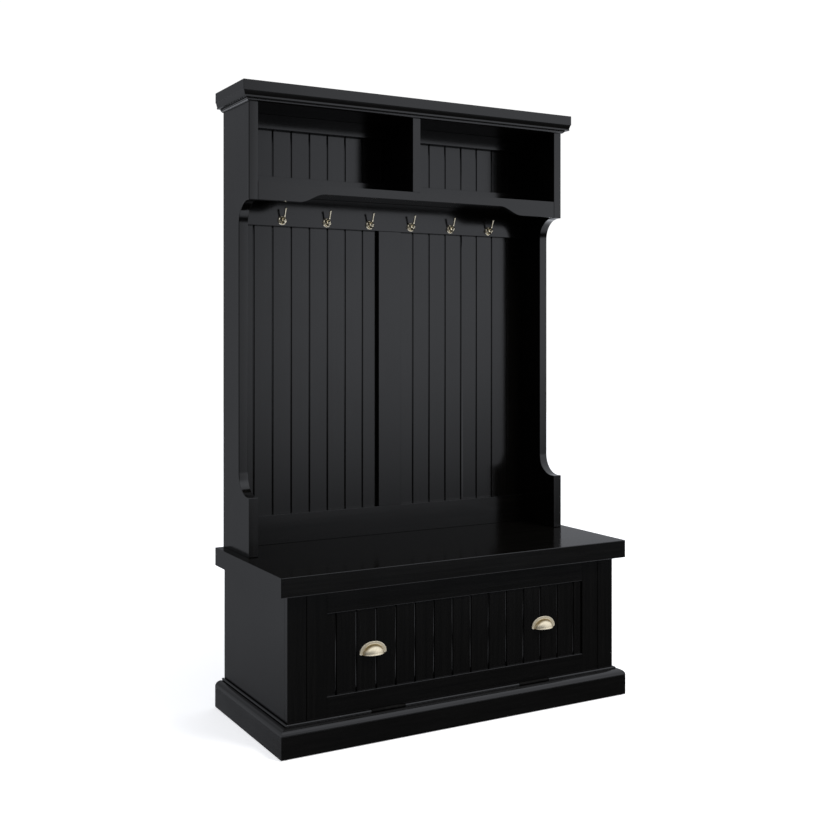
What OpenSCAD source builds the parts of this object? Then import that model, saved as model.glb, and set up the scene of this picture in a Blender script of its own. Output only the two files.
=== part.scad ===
// Hall tree: storage bench with a drop-front door, and a hutch with two
// cubbies, a beadboard back and a row of coat hooks.
// Millimetres. X is across the front, Y runs from front (-) to back (+),
// Z is up. The origin is on the floor, under the middle of the bench.

/* [Overall] */
// Width of the seat and of the base
overall_w = 1200; // [1000:10:1400]
// Depth of the seat and of the base
overall_d = 533; // [480:1:600]
// Height from the floor to the top of the crown
overall_h = 1920; // [1800:10:2100]
// Height of the top of the seat
seat_h = 500; // [480:5:520]

/* [Bench] */
// Thickness of the seat board
seat_t = 55.5; // [40:0.5:60]
// Overhang of the seat past the bench body, front and sides
seat_over = 30.5; // [25:0.5:40]
// Thickness of the bench side panels
bench_side_t = 18; // [15:1:22]
// Thickness of the face stiles and of the door frame
face_t = 19; // [18:0.5:22]
// Width of each face stile
face_stile_w = 57.5; // [50:0.5:70]
// Height of the base boards
base_h = 65; // [60:1:70]
// Height of the glides under the base
glide_h = 2; // [1:0.5:3]

/* [Door] */
// Gap between the door and the face stiles
door_gap = 2; // [1:0.5:3]
// Width of the door stiles
door_stile_w = 61; // [50:1:75]
// Height of the bottom rail of the door
door_rail_lo = 59; // [45:0.5:70]
// Height of the top rail of the door
door_rail_hi = 61.5; // [45:0.5:70]
// Depth from the door face to the beadboard face
panel_inset = 6; // [4:0.5:8]
// Thickness of the beadboard in the door
panel_t = 6; // [5:0.5:7]
// Spacing of the beads in the door
door_pitch = 64.3; // [50:0.1:80]
// Distance of each cup pull from the middle
pull_x = 300; // [200:5:350]
// Height of the middle of the cup pulls
pull_z = 264.5; // [240:0.5:290]

/* [Hinges] */
// Distance of each hinge from the middle
hinge_x = 256; // [200:1:380]
// Length of each hinge
hinge_len = 108; // [100:1:120]
// Radius of the hinge knuckles
knuckle_r = 3.8; // [3.5:0.1:4]
// Radius of the hinge pins
pin_r = 1.6; // [1.4:0.1:1.8]

/* [Hutch] */
// Width of the hutch over its sides
hutch_w = 1146.5; // [1000:0.5:1150]
// Depth of the hutch sides at top and foot
hutch_d = 220.5; // [200:0.5:240]
// Thickness of the hutch sides
hutch_side_t = 30; // [25:1:35]
// Depth of the long cut-out in the front of each side
notch_d = 84; // [60:1:100]
// Height of the bottom of the cut-out
notch_lo = 679; // [640:1:720]
// Height of the top of the cut-out
notch_hi = 1568.5; // [1540:0.5:1569]
// Radius of the corners of the cut-out
notch_r = 68; // [40:1:80]
// Thickness of the rails and of the centre stile of the back
back_rail_t = 19; // [16:1:22]
// Distance from the rear edge of the sides to the beadboard face
back_inset = 21.5; // [18:0.5:26]
// Thickness of the beadboard back
bead_t = 6; // [5:0.5:8]
// Spacing of the beads in the hutch back
bead_pitch = 64; // [50:1:80]
// Width of the groove between beads
groove_w = 6.6; // [4:0.2:8]
// Depth of the groove between beads
groove_d = 3.2; // [1:0.2:3.6]
// Distance of the centre stile's face in front of the beadboard
centre_stile_t = 15.5; // [12:0.5:19]

/* [Cubbies and rails] */
// Height of the top of the cubby shelf
shelf_z = 1624; // [1610:1:1640]
// Thickness of the cubby shelf
shelf_t = 20; // [16:1:22]
// Thickness of the cubby divider
divider_t = 27; // [20:1:30]
// Height of the underside of the hutch top
ceiling_z = 1864; // [1855:1:1866]
// Height of the rails at the top and bottom of the cubby backs
cubby_rail_h = 46; // [30:1:60]
// Height of the valance at its ends
valance_deep = 54; // [45:1:55]
// Height of the valance in its middle
valance_shallow = 26.5; // [24:0.5:35]
// Height of the bottom edge of the hook rail
hook_rail_z = 1511.5; // [1490:0.5:1530]
// Height of the top edge of the bottom rail of the back
back_bottom_z = 593; // [570:1:620]
// Width of the centre stile of the back
centre_stile_w = 85; // [60:1:120]

/* [Crown] */
// Width of the crown
crown_w = 1198; // [1000:1:1200]
// Depth of the crown
crown_d = 246; // [230:1:260]
// Thickness of the crown board
crown_t = 31; // [25:1:35]

/* [Hooks] */
// Spacing of the coat hooks
hook_pitch = 156.4; // [140:0.1:165]
// Height of the middle of the hook plates
hook_z = 1530; // [1525:1:1560]
// Reach of the upper prong from the rail
hook_reach = 34.5; // [28:0.5:40]

/* [Wall fixing] */
// Distance between the two wall screw holes
wall_hole_x = 800; // [600:10:900]
// Radius of the wall screw holes
wall_hole_r = 2.5; // [2:0.25:3]

/* [Hidden] */
eps = 0.01;
yb = overall_d / 2;                  // rear plane
yf = -overall_d / 2;                 // front of seat and base
xs = overall_w / 2;
body_x = xs - seat_over;             // outer face of bench sides
body_f = yf + seat_over;             // front face of the bench body
seat_u = seat_h - seat_t;            // underside of the seat
floor_top = 83.5;                    // top of the bench floor
floor_t = 18;
back_t = 12;                         // bench back panel
hx = hutch_w / 2;                    // outer face of hutch sides
hxi = hx - hutch_side_t;             // inner face of hutch sides
hyf = yb - hutch_d;                  // front of the hutch
bead_y = yb - back_inset;            // front of the beadboard
rail_y = bead_y - back_rail_t;       // front of the back rails
crown_z = overall_h - crown_t;       // underside of the crown board
cyf = yb - crown_d;                  // front of the crown
// hinge axis of the door
axis_y = body_f - 4.5;
axis_z = 85;
door_x = body_x - face_stile_w - door_gap;  // half width of the door
door_lo = 86.5;
door_hi = 440.5;
panel_x = door_x - door_stile_w;     // half width of the panel opening
panel_lo = door_lo + door_rail_lo;
panel_hi = door_hi - door_rail_hi;
tongue = 8;                          // panel held this deep in the frame
leaf_t = 2;
hinge_gap = 112;                     // length of bead left out for a hinge
black = [0.10, 0.10, 0.105];
brass = [0.80, 0.70, 0.48];
steel = [0.55, 0.55, 0.56];
dark = [0.05, 0.05, 0.05];

module board(lo, hi) translate(lo) cube([hi[0] - lo[0], hi[1] - lo[1], hi[2] - lo[2]]);
module xcyl(p, r, l, n = 48) translate(p) rotate([0, 90, 0]) cylinder(r = r, h = l, $fn = n);
module ycyl(p, r, l, n = 48) translate(p) rotate([-90, 0, 0]) cylinder(r = r, h = l, $fn = n);
module zcyl(p, r, l, n = 48) translate(p) cylinder(r = r, h = l, $fn = n);
function arc(cx, cy, rx, ry, a0, a1, n) =
  [for (i = [0:n]) let (a = a0 + (a1 - a0) * i / n) [cx + rx * cos(a), cy + ry * sin(a)]];

// ---------------- crown ----------------
module crown_board() color(black)
  board([-crown_w / 2, cyf, crown_z], [crown_w / 2, yb, overall_h]);

// Outline of the crown moulding: first number is the distance in from the
// crown's edge, second is the height; it ends on the hutch face. From the top:
// a leaning bulged face, a fillet, a deep quirk and a steep roll.
cin = crown_w / 2 - hx;              // overhang at the sides
cin_f = crown_d - hutch_d;           // overhang at the front
function bulge(p, q, s, n) = let (d = q - p, u = [d[1], -d[0]] / norm(d))
  [for (i = [0:n]) let (t = i / n) p + d * t + u * 4 * s * t * (1 - t)];
function crown_profile(w) = concat(
  [[w, crown_z]], bulge([2, crown_z], [5.6, crown_z - 13], 0.25, 6),
  [[4.8, crown_z - 13.4], [4.8, crown_z - 18.4], [16, crown_z - 18.4], [16, crown_z - 21.2]],
  bulge([16.8, crown_z - 21.6], [24, crown_z - 27.4], 0.8, 6),
  [[w, crown_z - 27.4]]);

module crown_run_front() intersection() {
  translate([-crown_w / 2, 0, 0]) rotate([90, 0, 90]) linear_extrude(crown_w)
    polygon([for (p = crown_profile(cin_f)) [cyf + p[0], p[1]]]);
  translate([0, 0, crown_z - 40]) linear_extrude(50)
    polygon([[-crown_w / 2, cyf], [crown_w / 2, cyf], [hx, hyf], [-hx, hyf]]);
}
module crown_run_left() intersection() {
  translate([0, yb, 0]) rotate([90, 0, 0]) linear_extrude(crown_d)
    polygon([for (p = crown_profile(cin)) [-crown_w / 2 + p[0], p[1]]]);
  translate([0, 0, crown_z - 40]) linear_extrude(50)
    polygon([[-crown_w / 2, cyf], [-hx, hyf], [-hx, yb], [-crown_w / 2, yb]]);
}
module crown_moulding_front() color(black) crown_run_front();
module crown_moulding_left() color(black) crown_run_left();
module crown_moulding_right() color(black) mirror([1, 0, 0]) crown_run_left();

// ---------------- hutch ----------------
module hutch_top_panel() color(black)
  board([-hxi, hyf, ceiling_z], [hxi, yb, ceiling_z + 18]);

// The cut-out is built from boxes and round corners, so its corners are true arcs
module side_board() difference() {
  board([hxi, hyf, seat_h], [hx, yb, crown_z]);
  difference() {
    board([hxi - 1, hyf - 1, notch_lo], [hx + 1, hyf + notch_d, notch_hi]);
    for (s = [0, 1]) {
      zc = s == 0 ? notch_lo + notch_r : notch_hi - notch_r;
      difference() {
        board([hxi - 2, hyf + notch_d - notch_r, s == 0 ? notch_lo - 1 : zc],
              [hx + 2, hyf + notch_d + 1, s == 0 ? zc : notch_hi + 1]);
        xcyl([hxi - 3, hyf + notch_d - notch_r, zc], notch_r, hutch_side_t + 6, 96);
      }
    }
  }
}
module hutch_side_right() color(black) side_board();
module hutch_side_left() color(black) mirror([1, 0, 0]) side_board();

module cubby_divider() color(black)
  board([-divider_t / 2, hyf, shelf_z], [divider_t / 2, rail_y, ceiling_z]);
module cubby_shelf() color(black)
  board([-hxi, hyf + 20, shelf_z - shelf_t], [hxi, bead_y, shelf_z]);

// The valance hangs deep at its ends and rises through an S curve
function s_curve(t) = 0.5 - 0.5 * cos(180 * t);
val_x0 = 408;   // where the deep ends stop
val_x1 = 322;   // where the shallow middle starts
module shelf_valance() color(black)
  translate([0, hyf + 20, 0]) rotate([90, 0, 0]) linear_extrude(20)
    polygon(concat(
      [[-hxi, shelf_z], [-hxi, shelf_z - valance_deep]],
      [for (i = [0:16]) let (t = i / 16) [-val_x0 + (val_x0 - val_x1) * t,
        shelf_z - valance_deep + (valance_deep - valance_shallow) * s_curve(t)]],
      [for (i = [0:16]) let (t = i / 16) [val_x1 + (val_x0 - val_x1) * t,
        shelf_z - valance_shallow - (valance_deep - valance_shallow) * s_curve(t)]],
      [[hxi, shelf_z - valance_deep], [hxi, shelf_z]]));

module wall_holes(y0, y1) for (s = [-1, 1])
  ycyl([s * wall_hole_x / 2, y0, ceiling_z - cubby_rail_h / 2], wall_hole_r, y1 - y0);
module cubby_top_rail() color(black) difference() {
  board([-hxi, rail_y, ceiling_z - cubby_rail_h], [hxi, bead_y, ceiling_z]);
  wall_holes(rail_y - 1, bead_y + 1);
}
module cubby_bottom_rail() color(black)
  board([-hxi, rail_y, shelf_z], [hxi, bead_y, shelf_z + cubby_rail_h - 2]);

module hook_rail() color(black) difference() {
  board([-hxi, rail_y, hook_rail_z], [hxi, bead_y, shelf_z - shelf_t]);
  for (i = [0:5]) for (s = [-1, 1])
    ycyl([hook_x(i), rail_y - 1, hook_z + s * hook_screw], 1.5, 15);
}
module back_centre_stile() color(black)
  board([-centre_stile_w / 2, bead_y - centre_stile_t, back_bottom_z], [centre_stile_w / 2, bead_y, hook_rail_z]);
module back_bottom_rail() color(black) difference() {
  board([-hxi, rail_y, seat_h], [hxi, bead_y, back_bottom_z]);
  for (s = [-1, 1]) ycyl([s * 300, bead_y - 10, seat_h + 20], 1.5, 11);
}

// Beadboard seen in section: flat boards with a steep groove at each joint
function v_cut(x, y) = [[x - groove_w / 2, y], [x - groove_w / 2 + 0.8, y + 0.5], [x - groove_w * 0.16, y + groove_d],
  [x + groove_w * 0.16, y + groove_d], [x + groove_w / 2 - 0.8, y + 0.5], [x + groove_w / 2, y]];
module bead_sheet(x0, x1, xg, y, t, z0, z1)
  translate([0, 0, z0]) linear_extrude(z1 - z0) polygon(concat(
    [[x0, y + t], [x0, y]], [for (x = xg) each v_cut(x, y)], [[x1, y], [x1, y + t]]));
module beadboard_right() color(black) difference() {
  bead_sheet(0, hxi, [for (i = [0:7]) bead_pitch * (i + 0.5)], bead_y, bead_t, seat_h, ceiling_z);
  wall_holes(bead_y - 1, bead_y + bead_t + 1);
  ycyl([300, bead_y - 1, seat_h + 20], 1.5, bead_t + 2);
}
module beadboard_left() color(black) difference() {
  bead_sheet(-hxi, 0, [for (i = [7:-1:0]) -bead_pitch * (i + 0.5)], bead_y, bead_t, seat_h, ceiling_z);
  wall_holes(bead_y - 1, bead_y + bead_t + 1);
  ycyl([-300, bead_y - 1, seat_h + 20], 1.5, bead_t + 2);
}

// ---------------- coat hooks ----------------
function hook_x(i) = (i - 2.5) * hook_pitch;
// Bend and rod lie in the plane x = 0; bend runs round [cy, cz] from a0 to a1
module bend(cy, cz, R, a0, a1, r) translate([0, cy, cz]) rotate([90, 0, 90]) rotate([0, 0, a0])
  rotate_extrude(angle = a1 - a0, $fn = 64) translate([R, 0]) circle(r = r, $fn = 24);
module rod(p, q, r) translate([0, p[0], p[1]]) rotate([atan2(p[0] - q[0], q[1] - p[1]), 0, 0])
  cylinder(r = r, h = norm(q - p), $fn = 24);
module ball(p, r) translate([0, p[0], p[1]]) sphere(r = r, $fn = 32);
lean = 22;                                  // forward lean of the upper prong
hook_screw = 12.3;                          // screws above and below the middle
up_c = [-14, 17.5];                         // middle of its bend
up_a = [up_c[0] - 9 * cos(lean), up_c[1] - 9 * sin(lean)];
up_b = [-hook_reach + 3.6, up_a[1] + (hook_reach - 3.6 + up_a[0]) / tan(lean)];
// One cast hook about its own middle: back of the plate at y = 0, prongs towards -Y
module hook_body() {
  difference() {
    union() {
      ycyl([0, -3, 0], 15.5, 3, 64);
      ycyl([0, -5, 0], 6.5, 4);
    }
    for (s = [-1, 1]) ycyl([0, -6, s * hook_screw], 1.6, 7, 24);
  }
  rod([-1.6, 4.3], up_c - [0, 9], 3.1);
  ball(up_c - [0, 9], 3.3);
  bend(up_c[0], up_c[1], 9, 180 + lean, 270, 3.1);
  rod(up_a, up_b, 3.05);
  ball(up_b, 3.9);
  rod([-1.5, -4.3], [-12, -8.5], 3.1);
  ball([-12, -8.5], 3.3);
  bend(-12, 0.5, 9, 188, 270, 3.1);
  ball([-21.3, 0], 5.4);
}
module hook_at(i) color(brass) translate([hook_x(i), rail_y, hook_z]) hook_body();
module coat_hook_1() hook_at(0);
module coat_hook_2() hook_at(1);
module coat_hook_3() hook_at(2);
module coat_hook_4() hook_at(3);
module coat_hook_5() hook_at(4);
module coat_hook_6() hook_at(5);
// Wood screw along +Y: domed head in front of p, shank behind it
module y_screw(p, rh, hh, rs, l) {
  intersection() {
    ycyl([p[0], p[1] - hh, p[2]], rh, hh, 32);
    translate([p[0], p[1] - hh + rh * 1.3, p[2]]) sphere(r = rh * 1.3, $fn = 48);
  }
  ycyl([p[0], p[1] - eps, p[2]], rs, l + eps, 24);
}
module hook_screws() color(brass) for (i = [0:5]) for (s = [-1, 1])
  y_screw([hook_x(i), rail_y - 3, hook_z + s * hook_screw], 2.9, 1.8, 1.45, 15);

// ---------------- hutch fixing ----------------
module hutch_brackets() color(steel) for (s = [-1, 1]) difference() {
  union() {
    board([s * 300 - 15, bead_y + bead_t, seat_h], [s * 300 + 15, bead_y + bead_t + 2, seat_h + 32]);
    board([s * 300 - 15, bead_y + bead_t, seat_h], [s * 300 + 15, yb - 1, seat_h + 2]);
  }
  ycyl([s * 300, bead_y + bead_t - 1, seat_h + 20], 1.8, 4, 24);
  zcyl([s * 300, yb - 6, seat_h - 1], 1.8, 4, 24);
}
module bracket_screws() color(steel) for (s = [-1, 1]) {
  translate([s * 300, bead_y + bead_t + 2, seat_h + 20]) {
    ycyl([0, 0, 0], 3, 1.6, 32);
    ycyl([0, -16.5, 0], 1.45, 17, 24);
  }
  translate([s * 300, yb - 6, seat_h + 2]) {
    zcyl([0, 0, 0], 3, 1.6, 32);
    zcyl([0, 0, -18], 1.45, 18.5, 24);
  }
}

// ---------------- bench ----------------
module seat_top() color(black) difference() {
  board([-xs, yf, seat_u], [xs, yb, seat_h]);
  for (s = [-1, 1]) zcyl([s * 300, yb - 6, seat_h - 17], 1.5, 18, 24);
}
module side_panel() board([body_x - bench_side_t, body_f + face_t, glide_h], [body_x, yb, seat_u]);
module bench_side_right() color(black) side_panel();
module bench_side_left() color(black) mirror([1, 0, 0]) side_panel();
side_in = body_x - bench_side_t;
module bench_back_panel() color(black)
  board([-side_in, yb - back_t, glide_h], [side_in, yb, seat_u]);
// Places of the hinge screws along a leaf, and across it
hs_x = [-38, 0, 38];
hs_y = axis_y + 13.5;
module bench_floor() color(black) difference() {
  translate([0, 0, floor_top - floor_t]) linear_extrude(floor_t) polygon([
    [-side_in, yb - back_t], [-side_in, body_f + face_t], [-door_x - door_gap, body_f + face_t],
    [-door_x - door_gap, body_f], [door_x + door_gap, body_f], [door_x + door_gap, body_f + face_t],
    [side_in, body_f + face_t], [side_in, yb - back_t]]);
  for (s = [-1, 1]) {
    board([s * hinge_x - hinge_len / 2, body_f - 1, floor_top - leaf_t],
          [s * hinge_x + hinge_len / 2, axis_y + 21.5, floor_top + 1]);
    for (dx = hs_x) zcyl([s * hinge_x + dx, hs_y, floor_top - 15], 1.5, 16, 24);
  }
}
module floor_support() color(black)
  board([-30, -180, glide_h], [30, 230, floor_top - floor_t]);
module stile() board([door_x + door_gap, body_f, glide_h], [body_x, body_f + face_t, seat_u]);
module face_stile_right() color(black) stile();
module face_stile_left() color(black) mirror([1, 0, 0]) stile();
str_y = body_f + face_t + 20;               // front of the front stretcher
module seat_front_stretcher() color(black)
  board([-side_in, str_y, seat_u - 40], [side_in, str_y + 18, seat_u]);
module seat_rear_stretcher() color(black)
  board([-side_in, yb - back_t - 20, seat_u - 40], [side_in, yb - back_t, seat_u]);

// ---------------- base ----------------
module base_run_front(z0, z1) translate([0, 0, z0]) linear_extrude(z1 - z0)
  polygon([[-xs, yf], [xs, yf], [body_x, body_f], [-body_x, body_f]]);
module base_run_left(z0, z1) translate([0, 0, z0]) linear_extrude(z1 - z0)
  polygon([[-xs, yf], [-body_x, body_f], [-body_x, yb], [-xs, yb]]);
module base_board_front() color(black) base_run_front(glide_h, base_h);
module base_board_left() color(black) base_run_left(glide_h, base_h);
module base_board_right() color(black) mirror([1, 0, 0]) base_run_left(glide_h, base_h);
// Outline of the base moulding: distance in from the base's face, and height
// above the base boards; a bulged slope, a groove and a bead
bead_c = [26, 20];                           // same middle as the hinge knuckles
base_profile = concat(
  [[0, 0]], arc(20, 0.6, 20, 16.4, 180, 92, 10),
  [[20.6, 16.6], [21, 12.6], [22.2, 12.6]],
  arc(bead_c[0], bead_c[1], 3.8, 3.8, 216, 0, 14),
  [[29.8, 18], [seat_over, 18], [seat_over, 0]]);
module base_moulding_front() color(black) difference() {
  intersection() {
    translate([-xs, 0, base_h]) rotate([90, 0, 90]) linear_extrude(overall_w)
      polygon([for (p = base_profile) [yf + p[0], p[1]]]);
    base_run_front(base_h - 1, base_h + 30);
  }
  // room for the hinge knuckles
  for (s = [-1, 1]) board([s * hinge_x - hinge_gap / 2, axis_y - 4.6, axis_z - 4.5],
                          [s * hinge_x + hinge_gap / 2, body_f + 1, axis_z + 10]);
}
module base_side_moulding() intersection() {
  translate([0, yb, base_h]) rotate([90, 0, 0]) linear_extrude(overall_d)
    polygon([for (p = base_profile) [-xs + p[0], p[1]]]);
  base_run_left(base_h - 1, base_h + 30);
}
module base_moulding_left() color(black) base_side_moulding();
module base_moulding_right() color(black) mirror([1, 0, 0]) base_side_moulding();
module floor_glides() color(dark) for (p = [[-585, -250], [0, -250], [585, -250], [-585, 245], [585, 245], [0, 215]])
  zcyl([p[0], p[1], 0], 12, glide_h);

// ---------------- door ----------------
module panel_room() board([-panel_x - tongue, body_f + panel_inset, panel_lo - tongue],
                          [panel_x + tongue, body_f + panel_inset + panel_t, panel_hi + tongue]);
module door_stile() difference() {
  board([panel_x, body_f, door_lo], [door_x, body_f + face_t, door_hi]);
  panel_room();
}
module door_stile_right() color(black) door_stile();
module door_stile_left() color(black) mirror([1, 0, 0]) door_stile();
module door_rail_top() color(black) difference() {
  board([-panel_x, body_f, panel_hi], [panel_x, body_f + face_t, door_hi]);
  panel_room();
}
module door_rail_bottom() color(black) difference() {
  board([-panel_x, body_f, door_lo], [panel_x, body_f + face_t, panel_lo]);
  panel_room();
  for (s = [-1, 1]) {
    board([s * hinge_x - hinge_len / 2, body_f - 1, door_lo - 1],
          [s * hinge_x + hinge_len / 2, axis_y + 21.5, door_lo + leaf_t]);
    for (dx = hs_x) zcyl([s * hinge_x + dx, hs_y, door_lo - 1], 1.5, 17, 24);
  }
}
module door_beadboard() color(black) difference() {
  bead_sheet(-panel_x - tongue, panel_x + tongue, [for (i = [-6.5:6.5]) i * door_pitch],
    body_f + panel_inset, panel_t, panel_lo - tongue, panel_hi + tongue);
  for (s = [-1, 1]) for (t = [-1, 1])
    ycyl([s * pull_x + t * post_x, body_f, pull_z - 12], 1.6, 20, 24);
}

// Cup pull about the middle of its flange: back at y = 0, cup towards -Y
cup = [33, 22, 27];
cup_z = -18;                                // foot of the cup
post_x = 24;                                // screw posts
module pull_body() {
  difference() {
    union() {
      translate([0, 0, cup_z]) rotate([90, 0, 0]) linear_extrude(2)
        polygon(concat([[-41.7, 0], [41.7, 0]], arc(39.8, 4.2, 4.2, 4.2, -60, 0, 4), arc(0, 4.2, 44, 31.3, 4, 176, 40), arc(-39.8, 4.2, 4.2, 4.2, 180, 240, 4)));
      intersection() {
        translate([0, 0, cup_z]) scale(cup) sphere(r = 1, $fn = 48);
        board([-40, -30, cup_z], [40, 0, 30]);
      }
    }
    translate([0, 0, cup_z]) scale([cup[0] - 2, cup[1] - 2, cup[2] - 2]) sphere(r = 1, $fn = 48);
  }
  for (t = [-1, 1]) difference() {
    ycyl([t * post_x, -9, -12], 3.6, 9, 32);
    ycyl([t * post_x, -7, -12], 1.5, 8, 24);
  }
}
module cup_pull_left() color(brass) translate([-pull_x, body_f + panel_inset, pull_z]) pull_body();
module cup_pull_right() color(brass) translate([pull_x, body_f + panel_inset, pull_z]) pull_body();
module pull_screws() color(steel) for (s = [-1, 1]) for (t = [-1, 1])
  translate([s * pull_x + t * post_x, body_f + panel_inset + panel_t, pull_z - 12]) {
    ycyl([0, 0, 0], 3.2, 2.2, 32);
    ycyl([0, -12, 0], 1.45, 12.5, 24);
  }

// ---------------- hinges ----------------
// Five knuckles: three on the frame leaf, two on the door leaf
kn = hinge_len / 5;
kc = 0.2;                                   // half the gap between knuckles
module hinge_leaf(own, other, z0, pin_hole, up) difference() {
  union() {
    board([-hinge_len / 2, body_f - 0.1, z0], [hinge_len / 2, axis_y + 21, z0 + leaf_t]);
    for (k = own) {
      x0 = -hinge_len / 2 + k * kn;
      a = k == 0 ? 0 : kc; b = k == 4 ? 0 : kc;
      xcyl([x0 + a, axis_y, axis_z], knuckle_r, kn - a - b, 64);
      board([x0 + a, axis_y, z0], [x0 + kn - b, body_f, z0 + leaf_t]);
    }
  }
  xcyl([-hinge_len / 2 - 1, axis_y, axis_z], pin_hole, hinge_len + 2, 64);
  for (k = other) xcyl([-hinge_len / 2 + k * kn - kc, axis_y, axis_z], knuckle_r + 0.3, kn + 2 * kc, 64);
  for (dx = hs_x) {
    zcyl([dx, hs_y, z0 - 1], 1.6, leaf_t + 2, 24);
    translate([dx, hs_y, up ? z0 : z0 + leaf_t / 2]) cylinder(r1 = up ? 3.3 : 1.6, r2 = up ? 1.6 : 3.3, h = leaf_t / 2, $fn = 32);
  }
}
module hinge_frame_leaves() color(dark) for (s = [-1, 1]) translate([s * hinge_x, 0, 0])
  hinge_leaf([0, 2, 4], [1, 3], floor_top - leaf_t, pin_r, false);
module hinge_door_leaves() color(dark) for (s = [-1, 1]) translate([s * hinge_x, 0, 0])
  hinge_leaf([1, 3], [0, 2, 4], door_lo, pin_r + 0.05, true);
module hinge_pins() color(dark) for (s = [-1, 1]) {
  xcyl([s * hinge_x - hinge_len / 2 - 0.6, axis_y, axis_z], pin_r, hinge_len + 1.2, 64);
  for (e = [-1, 1]) xcyl([s * hinge_x + e * (hinge_len / 2 + 0.6) - 0.6, axis_y, axis_z], 2.6, 1.2, 32);
}
// Countersunk screws stand in the leaves, points up (door) or down (floor)
module sunk_screw(d) {
  translate([0, 0, d > 0 ? 0 : -leaf_t / 2]) cylinder(r1 = d > 0 ? 3.2 : 1.5, r2 = d > 0 ? 1.5 : 3.2, h = leaf_t / 2, $fn = 32);
  translate([0, 0, d > 0 ? 0.5 : -14]) cylinder(r = 1.45, h = 13.5, $fn = 24);
}
module hinge_frame_screws() color(steel) for (s = [-1, 1]) for (dx = hs_x)
  translate([s * hinge_x + dx, hs_y, floor_top - 0.02]) sunk_screw(-1);
module hinge_door_screws() color(steel) for (s = [-1, 1]) for (dx = hs_x)
  translate([s * hinge_x + dx, hs_y, door_lo + 0.02]) sunk_screw(1);

// ---------------- catches ----------------
catch_x = 440;
module magnetic_catches() color(dark) for (s = [-1, 1]) {
  board([s * catch_x - 23, body_f + face_t + 4.5, 414], [s * catch_x + 23, str_y, 429]);
  board([s * catch_x - 15, body_f + face_t + 1.9, 416.5], [s * catch_x + 15, body_f + face_t + 5, 426.5]);
}
module catch_strikes() color(steel) for (s = [-1, 1])
  board([s * catch_x - 19, body_f + face_t, 415], [s * catch_x + 19, body_f + face_t + 1.5, 428]);

crown_board();
crown_moulding_front();
crown_moulding_left();
crown_moulding_right();
hutch_top_panel();
hutch_side_left();
hutch_side_right();
cubby_divider();
cubby_shelf();
shelf_valance();
cubby_top_rail();
cubby_bottom_rail();
hook_rail();
back_centre_stile();
back_bottom_rail();
beadboard_left();
beadboard_right();
coat_hook_1();
coat_hook_2();
coat_hook_3();
coat_hook_4();
coat_hook_5();
coat_hook_6();
hook_screws();
hutch_brackets();
bracket_screws();
seat_top();
bench_side_left();
bench_side_right();
bench_back_panel();
bench_floor();
floor_support();
face_stile_left();
face_stile_right();
seat_front_stretcher();
seat_rear_stretcher();
base_board_front();
base_board_left();
base_board_right();
base_moulding_front();
base_moulding_left();
base_moulding_right();
floor_glides();
door_stile_left();
door_stile_right();
door_rail_top();
door_rail_bottom();
door_beadboard();
cup_pull_left();
cup_pull_right();
pull_screws();
hinge_frame_leaves();
hinge_door_leaves();
hinge_pins();
hinge_frame_screws();
hinge_door_screws();
magnetic_catches();
catch_strikes();
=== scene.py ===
import math
import bmesh
import bpy
from mathutils import Matrix, Vector


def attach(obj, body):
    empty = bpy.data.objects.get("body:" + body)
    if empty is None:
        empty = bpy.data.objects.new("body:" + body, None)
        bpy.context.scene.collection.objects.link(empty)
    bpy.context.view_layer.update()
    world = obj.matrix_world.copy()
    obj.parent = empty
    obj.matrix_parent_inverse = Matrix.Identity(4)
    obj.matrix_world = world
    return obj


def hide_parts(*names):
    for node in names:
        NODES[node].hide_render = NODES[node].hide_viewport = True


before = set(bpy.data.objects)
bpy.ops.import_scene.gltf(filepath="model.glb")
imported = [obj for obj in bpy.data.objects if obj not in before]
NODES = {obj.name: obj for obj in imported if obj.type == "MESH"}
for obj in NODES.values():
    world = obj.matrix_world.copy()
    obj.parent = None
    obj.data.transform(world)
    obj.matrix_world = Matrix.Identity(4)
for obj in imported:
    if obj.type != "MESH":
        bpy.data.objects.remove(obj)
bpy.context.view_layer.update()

MM = 0.001
scene = bpy.context.scene
scene.view_settings.view_transform = "Standard"
scene.view_settings.look = "None"

# ------------------------------------------------------------------ camera
cam_data = bpy.data.cameras.new("camera")
cam = bpy.data.objects.new("camera", cam_data)
scene.collection.objects.link(cam)
cam.location = (-1.82123, -3.18785, 1.16309)
cam.rotation_euler = (math.radians(90), 0, math.radians(-29.55))
cam_data.sensor_width = 36.0
cam_data.lens = 49.406
cam_data.shift_y = -0.10067
cam_data.clip_start, cam_data.clip_end = 0.05, 200
scene.camera = cam


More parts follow.
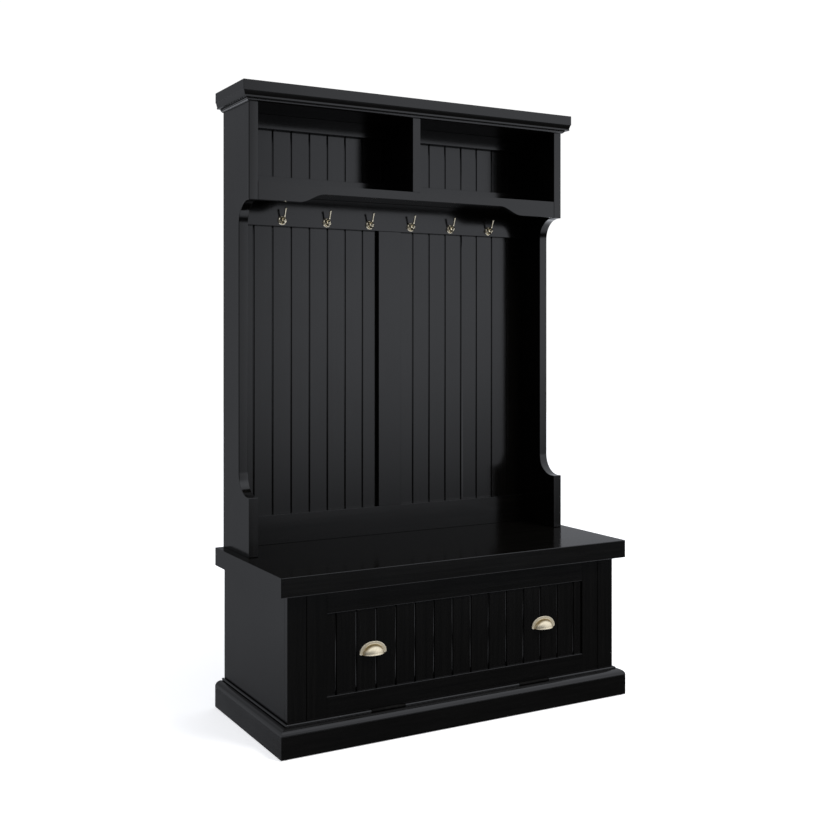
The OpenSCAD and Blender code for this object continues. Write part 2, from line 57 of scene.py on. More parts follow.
# ------------------------------------------------------------------ node helpers
class Tree:
    def __init__(self, tree):
        self.t = tree
        self.n = tree.nodes
        self.l = tree.links

    def add(self, kind, **props):
        node = self.n.new(kind)
        for k, v in props.items():
            setattr(node, k, v)
        return node

    def link(self, a, b):
        self.l.new(a, b)

    def put(self, sock, value):
        if isinstance(value, bpy.types.NodeSocket):
            self.l.new(value, sock)
        else:
            sock.default_value = value

    def math(self, op, a, b=0.0, c=0.0, clamp=False):
        m = self.add("ShaderNodeMath", operation=op, use_clamp=clamp)
        self.put(m.inputs[0], a)
        self.put(m.inputs[1], b)
        if len(m.inputs) > 2:
            self.put(m.inputs[2], c)
        return m.outputs[0]

    def remap(self, v, a, b, c, d, kind="LINEAR"):
        m = self.add("ShaderNodeMapRange", interpolation_type=kind, clamp=True)
        self.put(m.inputs["Value"], v)
        self.put(m.inputs["From Min"], a)
        self.put(m.inputs["From Max"], b)
        self.put(m.inputs["To Min"], c)
        self.put(m.inputs["To Max"], d)
        return m.outputs["Result"]

    def mix(self, fac, a, b, blend="MIX"):
        m = self.add("ShaderNodeMix", data_type="RGBA", blend_type=blend)
        self.put(m.inputs["Factor"], fac)
        self.put(m.inputs[6], a)
        self.put(m.inputs[7], b)
        return m.outputs[2]

    def noise(self, vec, scale=1.0, detail=4.0, rough=0.55, distort=0.0):
        m = self.add("ShaderNodeTexNoise")
        self.put(m.inputs["Vector"], vec)
        m.inputs["Scale"].default_value = scale
        m.inputs["Detail"].default_value = detail
        m.inputs["Roughness"].default_value = rough
        m.inputs["Distortion"].default_value = distort
        return m.outputs["Fac"]

    def mapping(self, vec, scale=(1, 1, 1), loc=(0, 0, 0), rot=(0, 0, 0)):
        m = self.add("ShaderNodeMapping")
        self.put(m.inputs["Vector"], vec)
        m.inputs["Scale"].default_value = scale
        m.inputs["Location"].default_value = loc
        m.inputs["Rotation"].default_value = rot
        return m.outputs["Vector"]

    def bump(self, height, strength, distance, normal=None, invert=False):
        m = self.add("ShaderNodeBump", invert=invert)
        m.inputs["Strength"].default_value = strength
        m.inputs["Distance"].default_value = distance
        self.put(m.inputs["Height"], height)
        if normal is not None:
            self.put(m.inputs["Normal"], normal)
        return m.outputs["Normal"]


def material(name):
    mat = bpy.data.materials.new(name)
    mat.use_nodes = True
    mat.node_tree.nodes.clear()
    t = Tree(mat.node_tree)
    out = t.add("ShaderNodeOutputMaterial")
    bsdf = t.add("ShaderNodeBsdfPrincipled")
    t.link(bsdf.outputs[0], out.inputs[0])
    coord = t.add("ShaderNodeTexCoord")
    return mat, t, bsdf, coord.outputs["Object"]


def edge_mask(t, radius, lo=0.985, hi=0.80):
    """1 on arrises, 0 on flats."""
    bev = t.add("ShaderNodeBevel", samples=6)
    bev.inputs["Radius"].default_value = radius
    geo = t.add("ShaderNodeNewGeometry")
    dot = t.add("ShaderNodeVectorMath", operation="DOT_PRODUCT")
    t.link(bev.outputs[0], dot.inputs[0])
    t.link(geo.outputs["Normal"], dot.inputs[1])
    return t.remap(dot.outputs["Value"], lo, hi, 0.0, 1.0)


GRAIN = {"x": (2.2, 95.0, 95.0), "y": (95.0, 2.2, 95.0), "z": (95.0, 95.0, 2.2)}


def paint(name, axis, seed, rough=0.145, rubbed=False):
    """Satin black lacquer over sanded wood: faint grain telegraphs through it."""
    mat, t, bsdf, co = material(name)
    g = GRAIN[axis]
    shift = t.mapping(co, loc=(seed * 0.37, seed * 0.73, seed * 1.19))
    coarse = t.noise(t.mapping(shift, scale=g), 1.0, 5.0, 0.62, 0.35)
    fine = t.noise(t.mapping(shift, scale=tuple(v * 5.0 for v in g)), 1.0, 3.0, 0.5)
    mottle = t.noise(shift, 5.0, 3.0, 0.5)
    peel = t.noise(shift, 420.0, 2.0, 0.5)
    grain = t.math("ADD", t.math("MULTIPLY", coarse, 0.65), t.math("MULTIPLY", fine, 0.35))
    streak = t.remap(grain, 0.40, 0.66, 0.0, 1.0)
    wear = t.math("MULTIPLY", edge_mask(t, 0.0016), t.remap(t.noise(shift, 38.0, 3.0, 0.6), 0.42, 0.72, 0.15, 1.0))
    col = t.mix(streak, (0.0016, 0.0015, 0.0013, 1), (0.0031, 0.0028, 0.0024, 1))
    col = t.mix(t.math("MULTIPLY", wear, 0.55), col, (0.010, 0.0085, 0.007, 1))
    t.link(col, bsdf.inputs["Base Color"])
    r = t.math("ADD", t.remap(grain, 0.3, 0.7, rough - 0.02, rough + 0.03), t.remap(mottle, 0.3, 0.7, -0.012, 0.016))
    r = t.math("ADD", r, t.math("MULTIPLY", wear, 0.05))
    t.link(r, bsdf.inputs["Roughness"])
    n = t.bump(grain, 0.05, 0.0003)
    n = t.bump(peel, 0.02, 0.00015, n)
    t.link(n, bsdf.inputs["Normal"])
    bsdf.inputs["Specular IOR Level"].default_value = 0.5
    if rubbed:      # a horizontal top dulled by use
        part = t.add("ShaderNodeSeparateXYZ")
        t.link(t.add("ShaderNodeTexCoord").outputs["Normal"], part.inputs[0])
        t.link(t.remap(part.outputs["Z"], 0.75, 0.97, 0.5, 0.03), bsdf.inputs["Specular IOR Level"])
    return mat


def brass(name, seed, base, tarnish_shade_col, rough=0.27, shade_reach=0.006, shade_open_at=0.85, cove_shade=False):
    """Champagne brass: fine satin brushing, tarnish in the hollows, painted shade from ambient occlusion in corners
    and crevices, polished high spots.
    """
    mat, t, bsdf, co = material(name)
    shift = t.mapping(co, loc=(seed * 0.41, seed * 0.17, seed * 0.9))
    brush = t.noise(t.mapping(shift, scale=(120.0, 900.0, 900.0)), 1.0, 3.0, 0.6)
    cloud = t.noise(shift, 90.0, 4.0, 0.6, 0.5)
    geo = t.add("ShaderNodeNewGeometry")
    hollow = t.remap(geo.outputs["Pointiness"], 0.40, 0.49, 1.0, 0.0)
    high = t.remap(geo.outputs["Pointiness"], 0.51, 0.60, 0.0, 1.0)
    # painted shade: the colour darkens where ambient occlusion finds nearby surfaces, in corners, crevices and around
    # the prongs
    occ = t.add("ShaderNodeAmbientOcclusion", samples=6)
    occ.inputs["Distance"].default_value = shade_reach
    shade = t.remap(occ.outputs["AO"], shade_open_at - 0.6, shade_open_at, 1.0, 0.0)
    tarnish_and_shade = t.math("MAXIMUM", t.math("MULTIPLY", hollow, 0.8), t.math("MAXIMUM", t.math("MULTIPLY", shade, 0.85), t.remap(cloud, 0.52, 0.78, 0.0, 0.22)))
    if cove_shade:        # painted shade: a darker band across the upper dome of the pull where it runs into its flange, placed by position
        part = t.add("ShaderNodeSeparateXYZ")
        t.link(co, part.inputs[0])
        px = t.math("MULTIPLY", part.outputs["X"], 1 / 0.033)
        pz = t.math("MULTIPLY_ADD", part.outputs["Z"], 1 / 0.0265, 0.018 / 0.0265)
        r = t.math("SQRT", t.math("ADD", t.math("MULTIPLY", px, px), t.math("MULTIPLY", pz, pz)))
        # painted shade band, strongest on the upper half of the dome
        shade_band = t.math("MULTIPLY", t.remap(r, 0.78, 0.95, 0.0, 0.85), t.remap(r, 1.02, 1.11, 1.0, 0.0))
        tarnish_and_shade = t.math("MAXIMUM", tarnish_and_shade, t.math("MULTIPLY", shade_band, t.remap(pz, 0.15, 0.6, 0.0, 1.0)))
    # tarnish and painted shade are mixed together into the base colour
    col = t.mix(tarnish_and_shade, base, tarnish_shade_col)
    col = t.mix(t.math("MULTIPLY", high, 0.5), col, (0.97, 0.94, 0.84, 1))
    t.link(col, bsdf.inputs["Base Color"])
    bsdf.inputs["Metallic"].default_value = 1.0
    r = t.math("ADD", t.remap(brush, 0.3, 0.7, rough - 0.05, rough + 0.06), t.math("MULTIPLY", tarnish_and_shade, 0.08))
    t.link(r, bsdf.inputs["Roughness"])
    n = t.bump(brush, 0.08, 0.00012)
    n = t.bump(cloud, 0.10, 0.0003, n)
    t.link(n, bsdf.inputs["Normal"])
    return mat


def metal(name, seed, base, rough, metallic=1.0, brush_axis=(900.0, 60.0, 900.0)):
    mat, t, bsdf, co = material(name)
    shift = t.mapping(co, loc=(seed * 0.31, seed * 0.57, seed * 0.77))
    brush = t.noise(t.mapping(shift, scale=brush_axis), 1.0, 3.0, 0.6)
    spangle = t.noise(shift, 240.0, 3.0, 0.7, 0.8)
    wear = edge_mask(t, 0.0006)
    dull = tuple(c * 0.55 for c in base[:3]) + (1,)
    pale = tuple(min(1.0, c * 1.7 + 0.02) for c in base[:3]) + (1,)
    col = t.mix(t.remap(spangle, 0.4, 0.7, 0.0, 1.0), base, dull)
    col = t.mix(t.math("MULTIPLY", wear, 0.6), col, pale)
    t.link(col, bsdf.inputs["Base Color"])
    bsdf.inputs["Metallic"].default_value = metallic
    r = t.math("ADD", t.remap(brush, 0.3, 0.7, rough - 0.05, rough + 0.07), t.remap(spangle, 0.3, 0.7, -0.03, 0.05))
    t.link(r, bsdf.inputs["Roughness"])
    t.link(t.bump(brush, 0.12, 0.0001), bsdf.inputs["Normal"])
    return mat


def plastic(name, seed, base, rough):
    mat, t, bsdf, co = material(name)
    shift = t.mapping(co, loc=(seed * 0.31, seed * 0.57, seed * 0.77))
    tex = t.noise(shift, 900.0, 3.0, 0.7)
    cloud = t.noise(shift, 60.0, 3.0, 0.5)
    wear = edge_mask(t, 0.0008)
    pale = tuple(min(1.0, c * 2.0 + 0.01) for c in base[:3]) + (1,)
    col = t.mix(t.remap(cloud, 0.35, 0.7, 0.0, 0.4), base, pale)
    col = t.mix(t.math("MULTIPLY", wear, 0.5), col, pale)
    t.link(col, bsdf.inputs["Base Color"])
    t.link(t.remap(tex, 0.3, 0.7, rough - 0.05, rough + 0.08), bsdf.inputs["Roughness"])
    t.link(t.bump(tex, 0.2, 0.0001), bsdf.inputs["Normal"])
    bsdf.inputs["Specular IOR Level"].default_value = 0.08
    return mat


BRASS = (1.0, 0.91, 0.70, 1)
# dark colour used for both tarnish and painted shade on the brass
BRASS_TARNISH_SHADE = (0.17, 0.135, 0.045, 1)
mats = {
    "x": [paint(f"satin_black_x{i}", "x", 3.1 * i + 1) for i in range(3)],
    "y": [paint(f"satin_black_y{i}", "y", 2.7 * i + 5) for i in range(2)],
    "z": [paint(f"satin_black_z{i}", "z", 4.3 * i + 2) for i in range(4)],
}
bead_mat = paint("satin_black_beadboard", "z", 17.0)
seat_mat = paint("satin_black_seat", "x", 29.0, rubbed=True)
door_bead_mat = paint("satin_black_door_beadboard", "z", 23.0)
# the hooks keep the painted ambient-occlusion shade weak; the pull has it strong and also gets the painted shade band
# on its dome
hook_mat = brass("champagne_brass_hook", 3.0, BRASS, BRASS_TARNISH_SHADE, 0.08, 0.004, 0.50)
pull_mat = brass("champagne_brass_pull", 8.0, (1.0, 0.89, 0.66, 1), (0.36, 0.25, 0.09, 1), 0.47, 0.011, 0.96, True)
steel_mat = metal("zinc_steel", 4.0, (0.55, 0.56, 0.58, 1), 0.32)
hinge_mat = plastic("black_hinge", 6.0, (0.0035, 0.0033, 0.003, 1), 0.78)
catch_mat = plastic("catch_plastic", 2.0, (0.018, 0.018, 0.019, 1), 0.42)
glide_mat = plastic("glide_plastic", 5.0, (0.014, 0.014, 0.014, 1), 0.5)

# ------------------------------------------------------------------ CAD boards: eased edges
# name: (grain axis, ease of the edges in mm)
BOARDS = {
    "crown_board": ("x", 1.0), "hutch_top_panel": ("x", 0.8),
    "hutch_side_left": ("z", 2.0), "hutch_side_right": ("z", 2.0),
    "cubby_divider": ("z", 1.0), "cubby_shelf": ("x", 0.8), "shelf_valance": ("x", 0.9),
    "cubby_top_rail": ("x", 0.7), "cubby_bottom_rail": ("x", 0.7), "hook_rail": ("x", 0.7),
    "back_centre_stile": ("z", 1.3), "back_bottom_rail": ("x", 0.8),
    "seat_top": ("seat", 1.9), "bench_side_left": ("z", 0.8), "bench_side_right": ("z", 0.8),
    "bench_back_panel": ("x", 0.6), "bench_floor": ("x", 0.6), "floor_support": ("y", 0.6),
    "face_stile_left": ("z", 0.8), "face_stile_right": ("z", 0.8),
    "seat_front_stretcher": ("x", 0.6), "seat_rear_stretcher": ("x", 0.6),
    "base_board_front": ("x", 0.5), "base_board_left": ("y", 0.5), "base_board_right": ("y", 0.5),
    "door_stile_left": ("z", 1.3), "door_stile_right": ("z", 1.3),
    "door_rail_top": ("x", 1.3), "door_rail_bottom": ("x", 1.3),
    "beadboard_left": ("bead", 0.4), "beadboard_right": ("bead", 0.4),
    "door_beadboard": ("dbead", 0.4),
    "crown_moulding_front": ("x", 0.0), "crown_moulding_left": ("y", 0.0), "crown_moulding_right": ("y", 0.0),
    "base_moulding_front": ("x", 0.0), "base_moulding_left": ("y", 0.0), "base_moulding_right": ("y", 0.0),
}


def ease_group():
    """Welds the imported faces, marks the long arrises for the bevel and shades the rest by angle."""
    g = bpy.data.node_groups.new("ease_edges", "GeometryNodeTree")
    g.interface.new_socket(name="Geometry", in_out="INPUT", socket_type="NodeSocketGeometry")
    g.interface.new_socket(name="Geometry", in_out="OUTPUT", socket_type="NodeSocketGeometry")
    t = Tree(g)
    gi, go = t.add("NodeGroupInput"), t.add("NodeGroupOutput")
    merge = t.add("GeometryNodeMergeByDistance")
    merge.inputs["Distance"].default_value = 1e-5
    t.link(gi.outputs[0], merge.inputs["Geometry"])
    angle = t.add("GeometryNodeInputMeshEdgeAngle").outputs["Unsigned Angle"]
    ev = t.add("GeometryNodeInputMeshEdgeVertices")
    d = t.add("ShaderNodeVectorMath", operation="DISTANCE")
    t.link(ev.outputs["Position 1"], d.inputs[0])
    t.link(ev.outputs["Position 2"], d.inputs[1])

    def cmp(op, a, b):
        c = t.add("FunctionNodeCompare", data_type="FLOAT", operation=op)
        t.put(c.inputs[0], a)
        t.put(c.inputs[1], b)
        return c.outputs[0]

    def both(op, a, b):
        c = t.add("FunctionNodeBooleanMath", operation=op)
        t.put(c.inputs[0], a)
        t.put(c.inputs[1], b)
        return c.outputs[0]

    sharp = cmp("GREATER_THAN", angle, math.radians(33))
    mark = both("AND", both("AND", cmp("GREATER_THAN", angle, math.radians(33)), cmp("LESS_THAN", angle, math.radians(100))),
                cmp("GREATER_THAN", d.outputs["Value"], 0.0025))
    keep = both("AND", sharp, both("NOT", mark, False))
    normal = t.add("GeometryNodeSetMeshNormal", mode="SHARPNESS")
    t.link(merge.outputs[0], normal.inputs["Mesh"])
    normal.inputs["Remove Custom"].default_value = True
    t.link(keep, normal.inputs["Edge Sharpness"])
    normal.inputs["Face Sharpness"].default_value = False
    store = t.add("GeometryNodeStoreNamedAttribute", data_type="FLOAT", domain="EDGE")
    t.link(normal.outputs[0], store.inputs["Geometry"])
    store.inputs["Name"].default_value = "bevel_weight_edge"
    t.link(mark, store.inputs["Value"])
    t.link(store.outputs[0], go.inputs[0])
    return g


def smooth_group():
    """Welds the imported faces and shades them smooth below 33 degrees."""
    g = bpy.data.node_groups.new("weld_smooth", "GeometryNodeTree")
    g.interface.new_socket(name="Geometry", in_out="INPUT", socket_type="NodeSocketGeometry")
    g.interface.new_socket(name="Geometry", in_out="OUTPUT", socket_type="NodeSocketGeometry")
    t = Tree(g)
    gi, go = t.add("NodeGroupInput"), t.add("NodeGroupOutput")
    merge = t.add("GeometryNodeMergeByDistance")
    merge.inputs["Distance"].default_value = 1e-5
    t.link(gi.outputs[0], merge.inputs["Geometry"])
    angle = t.add("GeometryNodeInputMeshEdgeAngle").outputs["Unsigned Angle"]
    c = t.add("FunctionNodeCompare", data_type="FLOAT", operation="GREATER_THAN")
    t.put(c.inputs[0], angle)
    t.put(c.inputs[1], math.radians(33))
    normal = t.add("GeometryNodeSetMeshNormal", mode="SHARPNESS")
    t.link(merge.outputs[0], normal.inputs["Mesh"])
    normal.inputs["Remove Custom"].default_value = True
    t.link(c.outputs[0], normal.inputs["Edge Sharpness"])
    normal.inputs["Face Sharpness"].default_value = False
    t.link(normal.outputs[0], go.inputs[0])
    return g


EASE, WELD = ease_group(), smooth_group()


def finish_with(obj, mat):
    if obj.material_slots:
        for s in obj.material_slots:
            s.material = mat
    else:
        obj.data.materials.append(mat)


count = {"x": 0, "y": 0, "z": 0}
for name, (axis, ease) in BOARDS.items():
    o = NODES[name]
    m = o.modifiers.new("weld", "NODES")
    m.node_group = EASE if ease > 0 else WELD
    if ease > 0:
        b = o.modifiers.new("eased_edges", "BEVEL")
        b.limit_method = "WEIGHT"
        b.width = ease * MM
        b.segments = 3
        b.use_clamp_overlap = True
        b.harden_normals = False
    w = o.modifiers.new("weighted", "WEIGHTED_NORMAL")
    w.keep_sharp = True
    w.weight = 80
    if axis == "bead":
        finish_with(o, bead_mat)
    elif axis == "dbead":
        finish_with(o, door_bead_mat)
    elif axis == "seat":
        finish_with(o, seat_mat)
    else:
        ms = mats[axis]
        finish_with(o, ms[count[axis] % len(ms)])
        count[axis] += 1

for name in ("hutch_brackets", "bracket_screws", "pull_screws", "hinge_frame_screws", "hinge_door_screws", "catch_strikes"):
    finish_with(NODES[name], steel_mat)
for name in ("hinge_frame_leaves", "hinge_door_leaves", "hinge_pins"):
    finish_with(NODES[name], hinge_mat)
finish_with(NODES["magnetic_catches"], catch_mat)
finish_with(NODES["floor_glides"], glide_mat)
finish_with(NODES["hook_screws"], hook_mat)


# ------------------------------------------------------------------ brass hardware
def link_obj(name, mesh):
    o = bpy.data.objects.new(name, mesh)
    scene.collection.objects.link(o)
    return o


def grid(bm, rows, wrap=False):
    """Quads between rows of points; every row has the same number of points."""
    vs = [[bm.verts.new(p) for p in row] for row in rows]
    n = len(vs[0])
    for a, b in zip(vs, vs[1:]):
        for j in range(n if wrap else n - 1):
            k = (j + 1) % n
            bm.faces.new((a[j], a[k], b[k], b[j]))
    return vs


def lathe_y(bm, profile, seg=64, at=(0, 0, 0)):
    """profile: (radius, y) pairs turned about the Y axis; closed at both ends."""
    rows = [[(at[0] + r * math.cos(2 * math.pi * j / seg), at[1] + y, at[2] + r * math.sin(2 * math.pi * j / seg))
             for j in range(seg)] for r, y in profile]
    vs = grid(bm, rows, wrap=True)
    bm.faces.new(list(reversed(vs[0])))
    bm.faces.new(vs[-1])


def tube(bm, path, radii, seg=24):
    """Round bar along a path in the plane x = 0, closed at both ends."""
    rows = []
    for i, (y, z) in enumerate(path):
        y0, z0 = path[max(0, i - 1)]
        y1, z1 = path[min(len(path) - 1, i + 1)]
        d = math.hypot(y1 - y0, z1 - z0)
        ny, nz = -(z1 - z0) / d, (y1 - y0) / d
        rows.append([(radii[i] * math.cos(2 * math.pi * j / seg), y + ny * radii[i] * math.sin(2 * math.pi * j / seg),
                      z + nz * radii[i] * math.sin(2 * math.pi * j / seg)) for j in range(seg)])
    vs = grid(bm, rows, wrap=True)
    bm.faces.new(list(reversed(vs[0])))
    bm.faces.new(vs[-1])


def globe(bm, c, r, sy=1.0, sz=1.0):
    lathe_y(bm, [(max(0.02, r * math.sin(math.pi * i / 24)), -r * sy * math.cos(math.pi * i / 24)) for i in range(25)], 40, (0, c[0], c[1]))


def curve(a0, a1, n, cy, cz, r):
    return [(cy + r * math.cos(math.radians(a0 + (a1 - a0) * i / n)), cz + r * math.sin(math.radians(a0 + (a1 - a0) * i / n)))
            for i in range(n + 1)]


def hook_mesh():
    """One cast double hook in mm: moulded round plate, boss, tapered upper prong, ball on the lower one."""
    bm = bmesh.new()
    lathe_y(bm, [(15.5, 0.0), (15.5, -0.5), (15.3, -1.0), (14.7, -1.5), (14.1, -1.5), (13.8, -1.8), (13.5, -2.5), (13.0, -2.95), (12.3, -3.05),
                 (9.4, -3.05), (8.6, -2.5), (8.0, -2.5), (7.5, -3.1), (7.1, -4.2), (6.3, -5.1), (4.5, -5.8), (2.5, -6.1), (0.6, -6.2)])
    lean = math.radians(22)
    up_a = (-14 - 9 * math.cos(lean), 17.5 - 9 * math.sin(lean))
    up_b = (-30.9, up_a[1] + (30.9 + up_a[0]) / math.tan(lean))
    path = [(-1.0, 4.2), (-5.0, 5.3), (-9.5, 6.8)] + [(y, z) for y, z in curve(275, 202, 16, -14, 17.5, 9)]
    steps = 10
    path += [(up_a[0] + (up_b[0] - up_a[0]) * i / steps, up_a[1] + (up_b[1] - up_a[1]) * i / steps) for i in range(1, steps + 1)]
    n = len(path) - 1
    tube(bm, path, [3.8 - 0.7 * min(1.0, i / (n * 0.8)) for i in range(n + 1)])
    globe(bm, up_b, 3.9)
    path = [(-1.0, -4.2), (-5.0, -6.0), (-9.0, -7.7)] + [(y, z) for y, z in curve(268, 190, 14, -12, 0.5, 9)]
    n = len(path) - 1
    tube(bm, path, [3.75 - 1.1 * i / n for i in range(n + 1)])
    globe(bm, (-21.3, 0.0), 5.4)
    bmesh.ops.recalc_face_normals(bm, faces=bm.faces)
    bmesh.ops.scale(bm, vec=(MM, MM, MM), verts=bm.verts)
    me = bpy.data.meshes.new("hook_parts")
    bm.to_mesh(me)
    bm.free()
    tmp = link_obj("hook_parts", me)
    r = tmp.modifiers.new("fuse", "REMESH")
    r.mode = "VOXEL"
    r.voxel_size = 0.42 * MM
    sm = tmp.modifiers.new("cast_fillets", "SMOOTH")
    sm.factor, sm.iterations = 0.5, 5
    out = bpy.data.meshes.new_from_object(tmp.evaluated_get(bpy.context.evaluated_depsgraph_get()))
    out.name = "cast_hook"
    bpy.data.objects.remove(tmp)
    out.polygons.foreach_set("use_smooth", [True] * len(out.polygons))
    return out


def pull_mesh():
    """Cup pull in mm about the middle of its flange: rolled lip, pressed dome, fillet, flange with a soft edge, posts."""
    M = 64
    foot = -18.0

    def row(sx, rz, y, dip=0.0):
        """Half ring; the dome part of y fades out towards the two corners."""
        pts = []
        for j in range(M + 1):
            t = math.pi * j / M
            s = math.sin(t)
            pts.append((sx * math.cos(t), -2.0 + (y + 2.0) * s, foot + rz * s - dip * s))
        return pts

    rows = []
    for d, out in ((2.2, 0.2), (2.5, 0.9), (1.9, 1.35), (0.9, 1.3), (0.0, 0.7)):     # rolled lip
        rows.append(row(33.0 + out * 0.25, 0.0, -22.0 - out, d - 1.4))
    for i in range(1, 17):                                                          # dome
        a = math.radians(76.0 * i / 16)
        rows.append(row(33.0, 27.0 * math.sin(a), -2.0 - 20.0 * math.cos(a)))
    for sx, rz, y in ((33.15, 26.75, -5.2), (33.4, 27.25, -3.9), (33.8, 27.9, -2.95), (34.3, 28.6, -2.35), (34.9, 29.3, -2.06)):
        rows.append(row(sx, rz, y))

    def outline(inset, y):
        pts = []
        for j in range(M + 1):
            t = math.pi * j / M
            c, s = math.cos(t), math.sin(t)
            x = math.copysign((44.0 - inset) * abs(c) ** 0.93, c)
            z = (35.5 - inset) * max(s, 0.0) ** 0.93
            cut = 3.0 * max(0.0, 1.0 - z / 3.4) ** 2.0
            pts.append((math.copysign(abs(x) - cut, c), y, foot + z))
        return pts

    rows += [outline(3.6, -2.02), outline(1.4, -2.0), outline(0.5, -1.82), outline(0.12, -1.4), outline(0.0, -0.9), outline(0.0, 0.0)]
    bm = bmesh.new()
    grid(bm, rows)
    bmesh.ops.remove_doubles(bm, verts=bm.verts, dist=0.005)
    bmesh.ops.recalc_face_normals(bm, faces=bm.faces)
    mid = max(bm.faces, key=lambda f: -f.calc_center_median().y)
    if mid.normal.y > 0:
        bmesh.ops.reverse_faces(bm, faces=bm.faces)
    bmesh.ops.scale(bm, vec=(MM, MM, MM), verts=bm.verts)
    me = bpy.data.meshes.new("cup_pull_shell")
    bm.to_mesh(me)
    bm.free()
    tmp = link_obj("cup_pull_shell", me)
    so = tmp.modifiers.new("plate", "SOLIDIFY")
    so.thickness, so.offset = 1.5 * MM, -1.0
    out = bpy.data.meshes.new_from_object(tmp.evaluated_get(bpy.context.evaluated_depsgraph_get()))
    bpy.data.objects.remove(tmp)
    bm = bmesh.new()
    bm.from_mesh(out)
    posts = bmesh.new()
    for t in (-1, 1):
        lathe_y(posts, [(3.6, -0.3), (3.6, -8.2), (3.2, -8.7), (1.6, -8.7), (1.5, -8.3), (1.5, -4.0), (0.05, -4.0)], 32, (t * 24, 0, -12))
    bmesh.ops.recalc_face_normals(posts, faces=posts.faces)
    bmesh.ops.scale(posts, vec=(MM, MM, MM), verts=posts.verts)
    pm = bpy.data.meshes.new("posts")
    posts.to_mesh(pm)
    posts.free()
    bm.from_mesh(pm)
    bm.to_mesh(out)
    bm.free()
    out.name = "pressed_cup_pull"
    out.polygons.foreach_set("use_smooth", [True] * len(out.polygons))
    return out


hook_shape, pull_shape = hook_mesh(), pull_mesh()
hook_shape.materials.clear()
hook_shape.materials.append(hook_mat)
pull_shape.materials.clear()
pull_shape.materials.append(pull_mat)
for k in range(6):
    o = link_obj(f"cast_coat_hook_{k + 1}", hook_shape)
    o.location = ((k - 2.5) * 156.4 * MM, 226 * MM, 1530 * MM)
    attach(o, "cabinet")
    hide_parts(f"coat_hook_{k + 1}")
for side_name, sgn in (("left", -1), ("right", 1)):
    o = link_obj(f"pressed_cup_pull_{side_name}", pull_shape)
    o.location = (sgn * 300 * MM, -230 * MM, 264.5 * MM)
    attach(o, "door")
    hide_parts(f"cup_pull_{side_name}")

# ------------------------------------------------------------------ floor, light
bm = bmesh.new()
bmesh.ops.create_circle(bm, cap_ends=True, segments=96, radius=14.0)
me = bpy.data.meshes.new("studio_floor")
bm.to_mesh(me)
bm.free()
floor = link_obj("studio_floor", me)
floor.location.z = -0.0004
fm = bpy.data.materials.new("studio_floor")
fm.use_nodes = True
fm.node_tree.nodes.clear()
ft = Tree(fm.node_tree)
fo = ft.add("ShaderNodeOutputMaterial")
fd = ft.add("ShaderNodeBsdfDiffuse")
fd.inputs["Color"].default_value = (0.80, 0.80, 0.80, 1)
fe = ft.add("ShaderNodeEmission")
fe.inputs["Color"].default_value = (1, 1, 1, 1)
fe.inputs["Strength"].default_value = 0.55
fa = ft.add("ShaderNodeAddShader")
ft.link(fd.outputs[0], fa.inputs[0])
ft.link(fe.outputs[0], fa.inputs[1])
ft.link(fa.outputs[0], fo.inputs[0])
me.materials.append(fm)
floor.visible_diffuse = False
floor.visible_glossy = False
floor.visible_transmission = False
floor.visible_shadow = False

world = bpy.data.worlds.new("studio")
scene.world = world
world.use_nodes = True
world.node_tree.nodes.clear()
wt = Tree(world.node_tree)
wo = wt.add("ShaderNodeOutputWorld")
wc = wt.add("ShaderNodeTexCoord")
sep = wt.add("ShaderNodeSeparateXYZ")
wt.link(wc.outputs["Generated"], sep.inputs[0])


def ramp(t, fac, stops):
    """stops: (position, value) pairs as a smooth ramp."""
    r = t.add("ShaderNodeValToRGB")
    r.color_ramp.interpolation = "EASE" if len(stops) < 3 else "LINEAR"
    els = r.color_ramp.elements
    while len(els) > 1:
        els.remove(els[-1])
    els[0].position, els[0].color = stops[0][0], (stops[0][1],) * 3 + (1,)
    for p, v in stops[1:]:
        e = els.new(p)
        e.color = (v,) * 3 + (1,)
    t.put(r.inputs[0], fac)
    return r.outputs[0]


def sine(deg):
    return (math.sin(math.radians(deg)) + 1) / 2


# in front the bright band tilts a little: it starts lower on the left than on the right
tilt = wt.math("ADD", wt.remap(sep.outputs["X"], 0.25, 0.55, 0.024, -0.012), wt.remap(sep.outputs["X"], 0.55, 0.66, 0.0, -0.05))
z01 = wt.math("MULTIPLY_ADD", wt.math("ADD", sep.outputs["Z"], tilt), 0.5, 0.5)
zb01 = wt.math("MULTIPLY_ADD", sep.outputs["Z"], 0.5, 0.5)
front = ramp(wt, z01, [(0.0, 0.95), (sine(-50), 0.95), (sine(-38), 0.85), (sine(-30), 0.42), (sine(-24), 0.02), (sine(-19), 0.04), (sine(-15), 0.045),
                       (sine(-12.5), 0.055), (sine(-10.5), 0.09), (sine(-9), 0.22), (sine(-7.5), 0.51), (sine(-5), 0.82), (sine(-1), 1.13),
                       (sine(4), 1.17), (sine(8), 1.06), (sine(30), 1.06), (sine(55), 1.25), (1.0, 0.7)])
window = wt.math("MULTIPLY", wt.remap(sep.outputs["X"], 0.20, 0.415, 0.04, 1.0), wt.remap(sep.outputs["X"], 0.42, 0.65, 1.0, 0.94))
high = wt.remap(sep.outputs["Z"], 0.30, 0.60, 0.0, 1.0)
low = wt.remap(sep.outputs["Z"], -0.55, -0.40, 1.0, 0.0)
window = wt.math("MAXIMUM", window, wt.math("MAXIMUM", high, low))
front = wt.mix(1.0, front, window, "MULTIPLY")
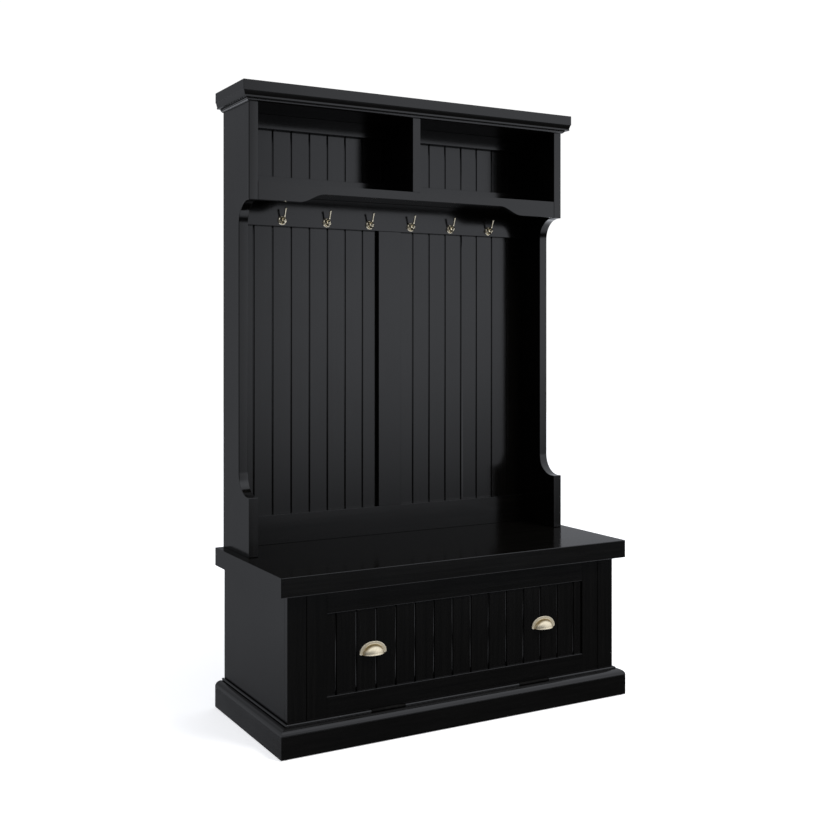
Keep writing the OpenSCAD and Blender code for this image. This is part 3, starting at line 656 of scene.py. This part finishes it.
back = ramp(wt, zb01, [(0.0, 0.95), (sine(-50), 1.0), (sine(-38), 1.1), (sine(-31), 1.05), (sine(-27), 0.45), (sine(-23), 0.06), (sine(-17), 0.16),
                       (sine(-14), 0.23), (sine(-9), 0.235), (sine(-6), 0.24), (sine(0), 0.245), (sine(8), 0.24), (sine(12), 0.26), (sine(30), 0.30), (sine(60), 0.42), (1.0, 0.7)])
back = wt.mix(1.0, back, wt.remap(sep.outputs["X"], -0.385, -0.35, 1.42, 0.83), "MULTIPLY")
back = wt.mix(1.0, back, wt.remap(sep.outputs["X"], 0.25, 0.45, 1.0, 2.7), "MULTIPLY")
side = wt.remap(sep.outputs["Y"], -0.15, 0.55, 0.0, 1.0, "SMOOTHSTEP")
# low at the back, a bright patch that only the left crown roll mirrors
patch = wt.math("MULTIPLY", wt.remap(sep.outputs["X"], -0.27, -0.19, 0.0, 1.0), wt.remap(sep.outputs["X"], -0.06, 0.03, 1.0, 0.0))
patch = wt.math("MULTIPLY", patch, wt.remap(sep.outputs["Z"], -0.32, -0.27, 1.05, 0.0))
patch = wt.math("MULTIPLY", patch, wt.remap(sep.outputs["Y"], 0.75, 0.85, 0.0, 1.0))
back = wt.mix(1.0, back, patch, "LIGHTEN")
glow = wt.math("MULTIPLY", wt.remap(sep.outputs["X"], 0.36, 0.43, 0.036, 0.0), wt.remap(sep.outputs["Z"], -0.19, -0.15, 1.0, 0.0))
glow = wt.math("MULTIPLY", glow, wt.remap(sep.outputs["Z"], -0.40, -0.33, 0.0, 1.0))
front = wt.mix(1.0, front, glow, "ADD")
level = wt.mix(side, front, back)
tint = wt.mix(1.0, level, (0.955, 0.985, 1.06, 1), "MULTIPLY")
bg = wt.add("ShaderNodeBackground")
wt.link(tint, bg.inputs["Color"])
bg.inputs["Strength"].default_value = 1.0
white = wt.add("ShaderNodeBackground")
white.inputs["Color"].default_value = (1, 1, 1, 1)
white.inputs["Strength"].default_value = 1.05
lp = wt.add("ShaderNodeLightPath")
ms = wt.add("ShaderNodeMixShader")
wt.link(lp.outputs["Is Camera Ray"], ms.inputs[0])
wt.link(bg.outputs[0], ms.inputs[1])
wt.link(white.outputs[0], ms.inputs[2])
wt.link(ms.outputs[0], wo.inputs[0])


def softbox(name, loc, target, size, power, color=(1, 1, 1)):
    ld = bpy.data.lights.new(name, "AREA")
    ld.shape = "RECTANGLE"
    ld.size, ld.size_y = size
    ld.energy = power
    ld.color = color
    o = bpy.data.objects.new(name, ld)
    scene.collection.objects.link(o)
    o.location = loc
    o.rotation_mode = "QUATERNION"
    o.rotation_quaternion = (Vector(target) - Vector(loc)).to_track_quat("-Z", "Y")
    o.visible_glossy = False
    return o


softbox("key_softbox", (1.7, -3.4, 5.4), (0, 0, 0.4), (1.8, 1.8), 210, (1.0, 0.98, 0.94))
